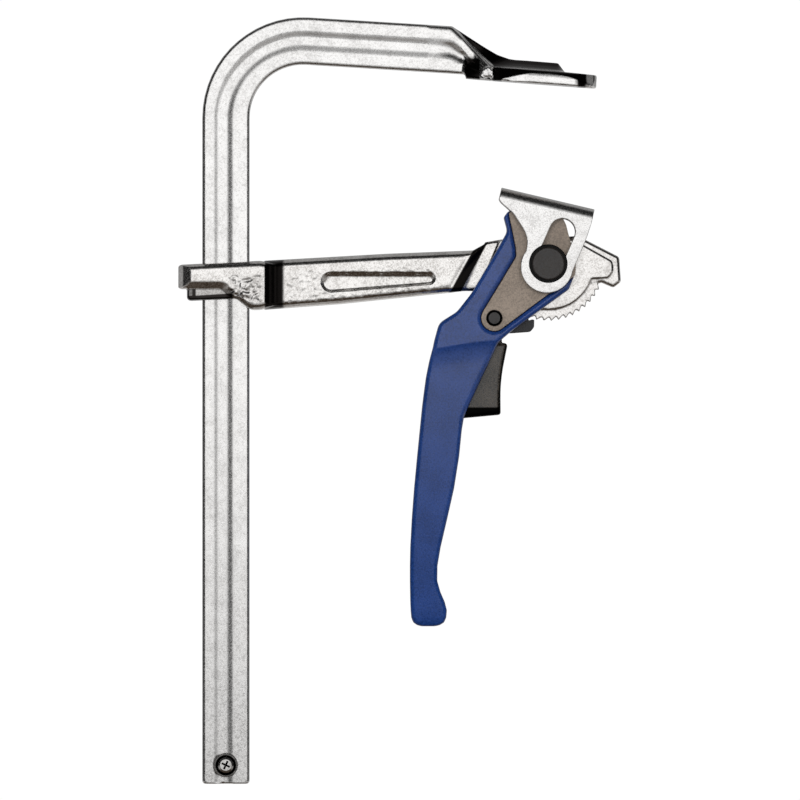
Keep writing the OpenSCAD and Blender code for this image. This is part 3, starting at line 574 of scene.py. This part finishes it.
# %% [markdown]
# ## Relaxing and rounding
#
# Where a form ends, it leaves a small step in the net. A Smooth modifier with a vertex group
# could take it away, but `relaxed` does the same in a few lines, on the points that a form picks.
# `rounded` lays a quarter circle along the outline of a flat piece. A bevel would need one clean
# edge there, and the net has none.

# %% Relaxing and rounding
WALL_BAND, ROUNDED_AGAIN = 1.5, 3


def relaxed(spots, mesh, chosen, rounds):
    """Moves each chosen point halfway to the mean of its neighbours, again and again."""
    ends, size = np.empty(len(mesh.edges) * 2, dtype=np.int64), len(spots)
    mesh.edges.foreach_get("vertices", ends)
    a, b = ends.reshape(-1, 2).T
    count = np.maximum(np.bincount(a, minlength=size) + np.bincount(b, minlength=size), 1)
    for _ in range(rounds):
        total = np.stack([np.bincount(a, spots[b, k], size) + np.bincount(b, spots[a, k], size)
                          for k in range(3)], axis=1)
        spots = np.where(chosen[:, None], (spots + total / count[:, None]) / 2.0, spots)
    return spots


def rounded(spots, mesh, half, radius, chosen):
    """Rounds the outline of a flat-sided piece with a quarter circle.

    half is half the piece's thickness at each point. The points on the upright wall, just under
    the round, say where the outline is."""
    face, flat = np.abs(spots[:, 1]), spots * (1.0, 0.0, 1.0)
    foot = half - radius
    wall = np.flatnonzero(chosen & (face < foot) & (face > foot - WALL_BAND))
    rim = np.flatnonzero(chosen & (face > half - radius))
    tree = KDTree(len(wall))
    for index in wall:
        tree.insert(flat[index], int(index))
    tree.balance()
    gap = np.minimum([tree.find(flat[index])[2] for index in rim], radius)
    drop = radius - np.sqrt(radius ** 2 - (radius - gap) ** 2)
    spots[rim, 1] = np.sign(spots[rim, 1]) * np.minimum(face[rim], half[rim] - drop)
    edge = np.zeros(len(spots), dtype=bool)
    edge[rim[gap < radius]] = True
    print("  rounded points:", int(edge.sum()))
    return relaxed(spots, mesh, edge, ROUNDED_AGAIN)


# %% [markdown]
# ## The rail's channel
#
# Rolling leaves a shallow channel along both broad sides, with soft walls. The solid has a plain
# trapezoid there. A profile swept along a curve could give the walls, but it would be a second
# rail to join to the forged jaw. So `channel` lays the smooth profile over the net: it works out
# how far a point is from the rail's middle line, on the leg, round the bend and along the upper
# arm, and sets its depth.

# %% The channel's profile
BEND_AT, BEND_R, ARM_TURN = (-129.9, -17.6), 40.8, math.radians(86.5)
RAIL_FACE, RAIL_FOOT, FACE_HALF = 6.0, -369.9, 10.3
CHANNEL_DEPTH, CHANNEL_WALLS = 0.85, ((3.8, 4.2), (-3.7, 5.2))
LEG_OFFSET = 1.45
CHANNEL_END = (-60.0, -51.0)
JAW_ROOT, JAW_ROOT_FOOT, JAW_ROOT_ROUNDS = (-64.0, -45.5), 11.0, 30


def across_rail(x, z):
    """How far a point lies outwards from the rail's middle line."""
    out, up = x - BEND_AT[0], z - BEND_AT[1]
    along_arm = out * math.sin(ARM_TURN) - up * math.cos(ARM_TURN)
    over_arm = out * math.cos(ARM_TURN) + up * math.sin(ARM_TURN)
    over_bend = np.where(along_arm > 0.0, over_arm, np.hypot(out, up))
    return np.where(up < 0.0, -out, over_bend) - BEND_R


def channel(spots, mesh):
    x, y, z = spots.T
    across = across_rail(x, z)
    shift = LEG_OFFSET * (1.0 - smooth_step((z - BEND_AT[1]) / BEND_R))
    (outer, outer_w), (inner, inner_w) = CHANNEL_WALLS
    depth = (CHANNEL_DEPTH * smooth_step((outer + shift - across) / outer_w + 0.5)
             * smooth_step((across - inner - shift) / inner_w + 0.5))
    face = np.sign(y) * (RAIL_FACE - depth)
    share = smooth_step((x - CHANNEL_END[1]) / (CHANNEL_END[0] - CHANNEL_END[1]))
    share *= (np.abs(across) < FACE_HALF) & (np.abs(y) > 3.5) & (z > RAIL_FOOT)
    spots[:, 1] = y + (face - y) * share
    root = (x > JAW_ROOT[0]) & (x < JAW_ROOT[1]) & (z > JAW_ROOT_FOOT) & (np.abs(y) > 3.0)
    return relaxed(spots, mesh, root, JAW_ROOT_ROUNDS)


print("the bend's centre is inside the middle line by, mm:", -across_rail(*BEND_AT))

# %% [markdown]
# ## The jaw's side
#
# The forging die leaves the jaw's rim flat only along its middle, under a shallow arc, and a
# crumpled lump of flash at its root. Both could be pieces of their own, but then a seam would
# show round them. So `jaw_side` pulls the rim and the lump out of the net that is there, and
# `rail_form` does the whole rail.

# %% The jaw's rim and the lump
RIM_AT = (-30.0, -28.0, -26.0, -24.4, -22.0, -10.0, 12.0, 14.8, 17.0, 20.0, 24.0)
SOLID_RIM = (14.6, 15.25, 16.1, 16.7, 17.4, 18.0, 18.0, 17.9, 17.2, 16.2, 12.65)
DIE_RIM = (14.0, 15.3, 16.6, 17.45, 17.6, 18.0, 18.0, 17.8, 16.9, 15.4, 12.2)
RIM_ROOT, RIM_TOP, OVER_ARC = -31.0, 8.9, 0.55
LUMP_AT, LUMP_SIZE, LUMP_FACE, LUMP_LEAN = (-32.4, 6.0), (4.3, 3.8), 12.8, 0.08
LUMP_SOFT, LUMP_WAVE, LUMP_HEIGHT = 0.3, 2.2, 0.55


def jaw_side(spots, mesh):
    x, y, z = spots.T
    rim = (x > RIM_ROOT) & (z < RIM_TOP - PLATE_FALL * (x - HEEL[0])) & (np.abs(y) > 9.0)
    width = np.interp(x, RIM_AT, DIE_RIM)
    over_arc = np.maximum(z - ARC_TOP + ARC_FALL * (x - ARC_MIDDLE) ** 2, 0.0)
    limit = width - OVER_ARC * over_arc
    side = np.minimum(np.abs(y) * width / np.interp(x, RIM_AT, SOLID_RIM), limit)
    y = np.where(rim, np.sign(y) * side, y)
    off = np.hypot((x - LUMP_AT[0]) / LUMP_SIZE[0], (z - LUMP_AT[1]) / LUMP_SIZE[1])
    lump = smooth_step((1.0 - off) / LUMP_SOFT) * (np.abs(y) > 6.0)
    lump_face = np.sign(y) * (LUMP_FACE + LUMP_LEAN * (x - LUMP_AT[0]))
    spots[:, 1] = y + (lump_face - y) * lump
    crumple(spots, lump, LUMP_WAVE, LUMP_HEIGHT)
    print("  points in the lump of flash:", int((lump > 0.0).sum()))
    return spots


def rail_form(spots, mesh):
    return jaw_side(channel(spots, mesh), mesh)


# %% [markdown]
# ## The arm's pocket
#
# The forging die presses a long pocket into each side of the arm, wide at the collar and narrow
# at the head, with a slack upper wall and a steep lower one. A boolean with a tapered cutter
# would make all its walls alike. So `pocket` sets the depth from the distance to the pocket's
# outline, which is a line that gets thinner from end to end.

# %% The pocket
POCKET_WIDE, POCKET_NARROW = (-114.8, -104.4, 5.9), (-63.1, -102.5, 3.8)
ARM_FACE, POCKET_DEPTH, POCKET_LIP = 7.5, 1.7, 1.2
UPPER_WALL, LOWER_WALL, WALL_CHANGE = 3.4, 1.8, 3.0
NECK, NECK_ROUNDS = (-58.0, -38.0), 10


def pocket(spots, mesh):
    x, y, z = spots.T
    (x0, z0, r0), (x1, z1, r1) = POCKET_WIDE, POCKET_NARROW
    length = (x1 - x0) ** 2 + (z1 - z0) ** 2
    along = np.clip(((x - x0) * (x1 - x0) + (z - z0) * (z1 - z0)) / length, 0.0, 1.0)
    rise = z - (z0 + along * (z1 - z0))
    inside = r0 + along * (r1 - r0) - np.hypot(x - (x0 + along * (x1 - x0)), rise)
    wall = LOWER_WALL + (UPPER_WALL - LOWER_WALL) * smooth_step(rise / WALL_CHANGE + 0.5)
    face = np.sign(y) * (ARM_FACE - POCKET_DEPTH * smooth_step(inside / wall))
    spots[:, 1] = np.where((inside > -POCKET_LIP) & (np.abs(y) > 3.5), face, y)
    print("  points in the pocket:", int((inside > 0.0).sum()))
    neck = (x > NECK[0]) & (x < NECK[1]) & (np.abs(y) > 3.0)
    return relaxed(spots, mesh, neck, NECK_ROUNDS)


# %% [markdown]
# ## The arm's collar, head and ripple
#
# The thick collar runs down to the beam in a long slope, where the solid has a short step, and its
# outline is round. The step round the toothed head is lower than in the solid. Last comes the
# hammered ripple, deep on the collar's cheeks and shallow along the lower half of the beam. Bumps
# in the finish could fake it, but they would be lost in a plain mesh, so it is made in the net.

# %% The slope, the head and the ripple
SLOPE_AT = (-150.0, -149.0, -148.0, -147.0, -146.0, -145.0, -144.0, -142.0, -139.6)
SOLID_SLOPE = (12.0, 11.48, 10.31, 9.27, 8.55, 8.12, 7.67, 7.5, 7.5)
COLLAR_HALF, COLLAR_EDGE, SLOPE_CURVE, SLOPE_ROUNDS = 12.0, 3.0, 1.25, 8
HEAD, HEAD_HALF, HEAD_RISE = (6.0, 60.0), 6.0, 0.6
RIPPLE_WAVE, CHEEK_RIPPLE, BEAM_RIPPLE = 1.9, 0.50, 0.17
CHEEK, CHEEK_HEIGHT = (-169.0, -151.5), (-114.5, -101.5)
BEAM, BEAM_HEIGHT, BEAM_LEAN, BEAM_LEVEL = (-139.0, -60.0), (-125.0, -99.0), 0.05, -138.0


def collar_slope(spots, mesh):
    x, y = spots[:, 0], spots[:, 1]
    share = 1.0 - np.clip((x - SLOPE_AT[0]) / (SLOPE_AT[-1] - SLOPE_AT[0]), 0.0, 1.0)
    wanted = ARM_FACE + (COLLAR_HALF - ARM_FACE) * share ** SLOPE_CURVE
    slope = (x > SLOPE_AT[0]) & (x < SLOPE_AT[-1])
    spots[:, 1] = np.where(slope, y * wanted / np.interp(x, SLOPE_AT, SOLID_SLOPE), y)
    spots = relaxed(spots, mesh, slope & (np.abs(y) > 4.0), SLOPE_ROUNDS)
    return rounded(spots, mesh, np.full(len(x), COLLAR_HALF), COLLAR_EDGE, x < SLOPE_AT[0])


def arm_form(spots, mesh):
    spots = collar_slope(pocket(spots, mesh), mesh)
    x, y, z = spots.T
    head = window(x, *HEAD, 3.0) * (np.abs(y) > 5.0)
    spots[:, 1] = y + np.sign(y) * (HEAD_HALF - np.abs(y)) * HEAD_RISE * head
    cheek = window(x, *CHEEK, 3.0) * window(z, *CHEEK_HEIGHT, 2.5)
    crumple(spots, cheek * (np.abs(y) > 10.0), RIPPLE_WAVE, CHEEK_RIPPLE)
    level = z - BEAM_LEAN * (x - BEAM_LEVEL)
    beam = window(x, *BEAM, 4.0) * window(level, *BEAM_HEIGHT, 3.0)
    crumple(spots, beam * (np.abs(y) > 6.0), RIPPLE_WAVE, BEAM_RIPPLE)
    return spots


# %% [markdown]
# ## The lever's shoulder
#
# Below the fork the lever narrows to the grip under a curved shoulder. The solid steps down
# evenly. A subdivision surface could be laid out along the arc by hand, but the fork's inside
# would have to be built again with it. So `shoulder` moves the step in the net until it runs in
# an arc across the side, and rounds the lever's outline. The trigger is rounded the same way.

# %% The shoulder's arc
PIVOT_Z, FORK_HALF, GRIP_HALF, GRIP_EDGE = -94.9, 13.0, 10.5, 2.6
SHOULDER_TOP, SHOULDER_SAG, SHOULDER_LENGTH, SHOULDER_CURVE = 40.6, 3.9, 15.0, 3.0
SHOULDER_MIDDLE, SHOULDER_SPAN, SAG_LIMIT, SAG_CURVE = -26.5, 30.2, 1.2, 1.5
STEP_AT = (38.0, 42.0, 46.0, 50.0, 54.0, 60.0, 70.0)
SOLID_STEP = (13.0, 13.0, 12.3, 11.13, 10.63, 10.5, 10.5)
CHEEK_INNER, CHEEK_SOFT = 7.5, 1.5
TRIGGER_HALF, TRIGGER_EDGE = 6.0, 2.4


def shoulder(spots, mesh):
    x, y, z = spots.T
    down = PIVOT_Z - z
    sag = np.clip((SHOULDER_MIDDLE - x) / SHOULDER_SPAN, 0.0, SAG_LIMIT) ** SAG_CURVE
    start = SHOULDER_TOP + SHOULDER_SAG * sag
    share = 1.0 - np.clip((down - start) / SHOULDER_LENGTH, 0.0, 1.0)
    wanted = GRIP_HALF + (FORK_HALF - GRIP_HALF) * share ** SHOULDER_CURVE
    solid = np.interp(down, STEP_AT, SOLID_STEP)
    weight = np.clip((np.abs(y) - CHEEK_INNER) / CHEEK_SOFT, 0.0, 1.0)
    weight *= (down > STEP_AT[0]) & (down < STEP_AT[-1])
    spots[:, 1] = y * (1.0 + (wanted / solid - 1.0) * weight)
    return rounded(spots, mesh, wanted, GRIP_EDGE, np.abs(y) > 0.0)


def trigger_edges(spots, mesh):
    half = np.full(len(spots), TRIGGER_HALF)
    return rounded(spots, mesh, half, TRIGGER_EDGE, np.abs(spots[:, 1]) > 0.0)


# %% [markdown]
# ## All nineteen pieces
#
# Each row gives a solid, the material slot of the record, its finish, the cell of its net in
# millimetres, how many rounds of smoothing it gets, and the form laid over it. Small pieces get a
# small cell, because the net must be finer than their edges.

# %% Dress every solid
for row in (
    ("rail", "nickel_steel", RAIL, 0.55, 3, rail_form),
    ("sliding_arm", "nickel_steel", ARM, 0.42, 3, arm_form),
    ("pressure_plate", "nickel_steel", PLATE, 0.28, 3),
    ("lever_body", "lever_paint", BLUE, 0.46, 4, shoulder),
    ("cam_plate_front", "cam_steel", CAM, 0.25, 8),
    ("cam_plate_rear", "cam_steel", CAM, 0.25, 8),
    ("pivot_pin", "black_oxide", PIN, 0.15, 3),
    ("pivot_pin_cap", "black_oxide", PIN, 0.12, 3),
    ("pad_washer_front", "black_oxide", OXIDE, 0.12, 2),
    ("pad_washer_rear", "black_oxide", OXIDE, 0.12, 2),
    ("pawl_pin", "black_oxide", RIVET, 0.10, 3),
    ("pawl_pin_cap", "black_oxide", RIVET, 0.10, 3),
    ("pawl", "black_oxide", PAWL, 0.20, 12),
    ("trigger", "trigger_plastic", PLASTIC, 0.32, 4, trigger_edges),
    ("stop_screw", "zinc_steel", SCREW, 0.09, 2),
    ("stop_cup_washer", "black_oxide", CUP, 0.10, 3),
    ("stop_flat_washer", "zinc_steel", ZINC, 0.12, 2),
    ("stop_nut", "zinc_steel", ZINC, 0.12, 3),
    ("trigger_spring", "spring_steel", WIRE, 0.08, 1),
):
    dress(*row)

# %% [markdown]
# ## Light
#
# Polished edges only look crisp if there is something dark for them to mirror. A plain white
# world would wash them out. So the world answers each kind of ray in its own way: the camera sees
# white, and matt colours get an even, mostly frontal light. Gloss sees a bright panel in front,
# dark sides, white cards low all round, a brown table top below and a dim wall behind.

# %% The world
PANEL_LIGHT, WALL_LIGHT, CARD_LIGHT, TABLE_LIGHT, DARK_LIGHT = 0.46, 0.32, 0.32, 0.05, 0.004
PANEL_TURN, PANEL_WIDEN, PANEL_SOFT, WALL_SOFT = 0.13, 0.08, (0.80, 0.94), (0.05, -0.4)
CARD_TOP, CARD_FOOT, CARD_FRONT = (-0.10, -0.24), (-0.66, -0.50), (0.84, 0.72)
TABLE_EDGE, TABLE_FRONT, MATT_TILT, MATT_SOFT = (-0.15, -0.50), (0.93, 0.80), 0.3, (-0.6, 1.0)
TABLE_BROWN, WHITE = (1.0, 0.72, 0.50, 1.0), (1.0, 1.0, 1.0, 1.0)
MATT_LIGHT, BACKGROUND_LIGHT = (0.24, 0.80), 1.02


def studio_world():
    world = bpy.data.worlds.new("studio")
    bpy.context.scene.world = world
    f = Finish("studio", world)
    front, up, right = f.axis("Y", 1.0) * -1.0, f.axis("Z", 1.0), f.axis("X", 1.0)
    panel = (front + right * PANEL_TURN + up.size() * PANEL_WIDEN).between(*PANEL_SOFT)
    wall = front.between(*WALL_SOFT)
    cards = up.between(*CARD_TOP) * up.between(*CARD_FOOT) * front.between(*CARD_FRONT)
    table = up.between(*TABLE_EDGE) * front.between(*TABLE_FRONT)
    matt = (front + up * MATT_TILT).between(*MATT_SOFT, *MATT_LIGHT)

    def sky(strength, colour=WHITE):
        return f.node("ShaderNodeBackground", {}, {"Color": colour, "Strength": strength})

    def choose(ray, other, seen):
        share = f.node("ShaderNodeLightPath", out=ray)
        return f.node("ShaderNodeMixShader", {}, {0: share, 1: other, 2: seen})

    white = panel * PANEL_LIGHT + wall * WALL_LIGHT + cards * CARD_LIGHT + DARK_LIGHT
    brown = sky(table * TABLE_LIGHT, TABLE_BROWN)
    room = f.node("ShaderNodeAddShader", {}, {0: sky(white), 1: brown})
    result = choose("Is Glossy Ray", sky(matt), room)
    result = choose("Is Camera Ray", result, sky(BACKGROUND_LIGHT))
    f.put(result, f.tree.nodes["World Output"].inputs["Surface"])
    print("world nodes:", len(f.tree.nodes))


studio_world()

# %% [markdown]
# ## Lamps
#
# The world alone is too even to show a form. A sun could shape it, but it would give hard shadows
# and tiny highlights, so three large soft lamps stand in front. Only the softbox is mirrored in
# the metal. The fills, which lift the paint and the plastic, are not.

# %% The lamps
def lamp(name, place, aim, size, watts, in_gloss):
    data = bpy.data.lights.new(name, "AREA")
    data.shape, data.size, data.size_y, data.energy = "RECTANGLE", size[0], size[1], watts
    light = bpy.data.objects.new(name, data)
    bpy.context.scene.collection.objects.link(light)
    light.location = place
    light.rotation_euler = (Vector(aim) - Vector(place)).to_track_quat("-Z", "Y").to_euler()
    light.visible_glossy = in_gloss
    print(name, "watts:", watts)


lamp("softbox", place=(-0.05, -1.6, 0.12), aim=(-0.05, 0.0, 0.12), size=(1.5, 0.9),
     watts=3.0, in_gloss=True)
lamp("fill_left", place=(-0.7, -2.2, 0.7), aim=(-0.08, 0.0, -0.15), size=(1.0, 1.0),
     watts=22.0, in_gloss=False)
lamp("fill_right", place=(0.7, -2.2, 0.2), aim=(-0.05, 0.0, -0.2), size=(1.0, 1.2),
     watts=14.0, in_gloss=False)

# %% [markdown]
# ## Floor
#
# A wide pale sheet, below the lever's end even when the arm is at its stop. Lamps alone could
# light it, but they would leave it grey far out. So it is bright by itself and stays pale
# wherever it is seen, and gloss and matt rays pass it by, because they have their own light.

# %% A pale floor
FLOOR_LEVEL, FLOOR_HALF, FLOOR_CLOUD_MM, FLOOR_GLOW = -0.56, 2.5, 90.0, 0.72
FLOOR_CORNERS = ((-1, -1), (1, -1), (1, 1), (-1, 1))


def pale_floor():
    corners = [(x * FLOOR_HALF, y * FLOOR_HALF, FLOOR_LEVEL) for x, y in FLOOR_CORNERS]
    mesh = bpy.data.meshes.new("floor")
    mesh.from_pydata(corners, [], [(0, 1, 2, 3)])
    f = Finish("pale_floor")
    cloud = f.grain(FLOOR_CLOUD_MM).between(0.3, 0.7)
    colour = f.mix(cloud, (0.92, 0.92, 0.92), (0.94, 0.94, 0.94))
    mesh.materials.append(f.coat(base_color=colour, roughness=0.9, emission_color=colour,
                                 emission_strength=FLOOR_GLOW))
    floor = bpy.data.objects.new("floor", mesh)
    bpy.context.scene.collection.objects.link(floor)
    floor.visible_glossy = floor.visible_diffuse = False
    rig.stage(floor)
    print("floor level, m:", FLOOR_LEVEL)


pale_floor()

# %% [markdown]
# ## Camera
#
# The clamp is seen level and square on. An orthographic camera would do that too, but a long lens
# from far away is nearer to a real view, and no side of the clamp widens in it. The frame takes
# in 424 mm at the rail.

# %% A long lens, square on
AIM = Vector((-78.44, 0.0, -167.06)) * MM
DISTANCE, FRAME_WIDTH, SENSOR_MM = 9.0, 0.424, 36.0
camera = bpy.data.objects.new("camera", bpy.data.cameras.new("camera"))
bpy.context.scene.collection.objects.link(camera)
camera.location = AIM + Vector((0.0, -DISTANCE, 0.0))
camera.rotation_euler = (math.radians(90.0), 0.0, 0.0)
camera.data.sensor_width = SENSOR_MM
camera.data.lens = SENSOR_MM * DISTANCE / FRAME_WIDTH
camera.data.clip_start = 0.01
bpy.context.scene.camera = camera
bpy.context.scene.view_settings.view_transform = "Standard"
print("lens, mm:", round(camera.data.lens))

# %% [markdown]
# ## Sizes, and the end
#
# The box of the solids, kept from the start, and the box of what was dressed are written side
# by side to extents.json.

# %% Sizes, and the end
json.dump({"cad": [list(c) for c in cad_box], "visual": [list(c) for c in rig.bounds()]},
          open("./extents.json", "w"))
print(open("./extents.json").read())
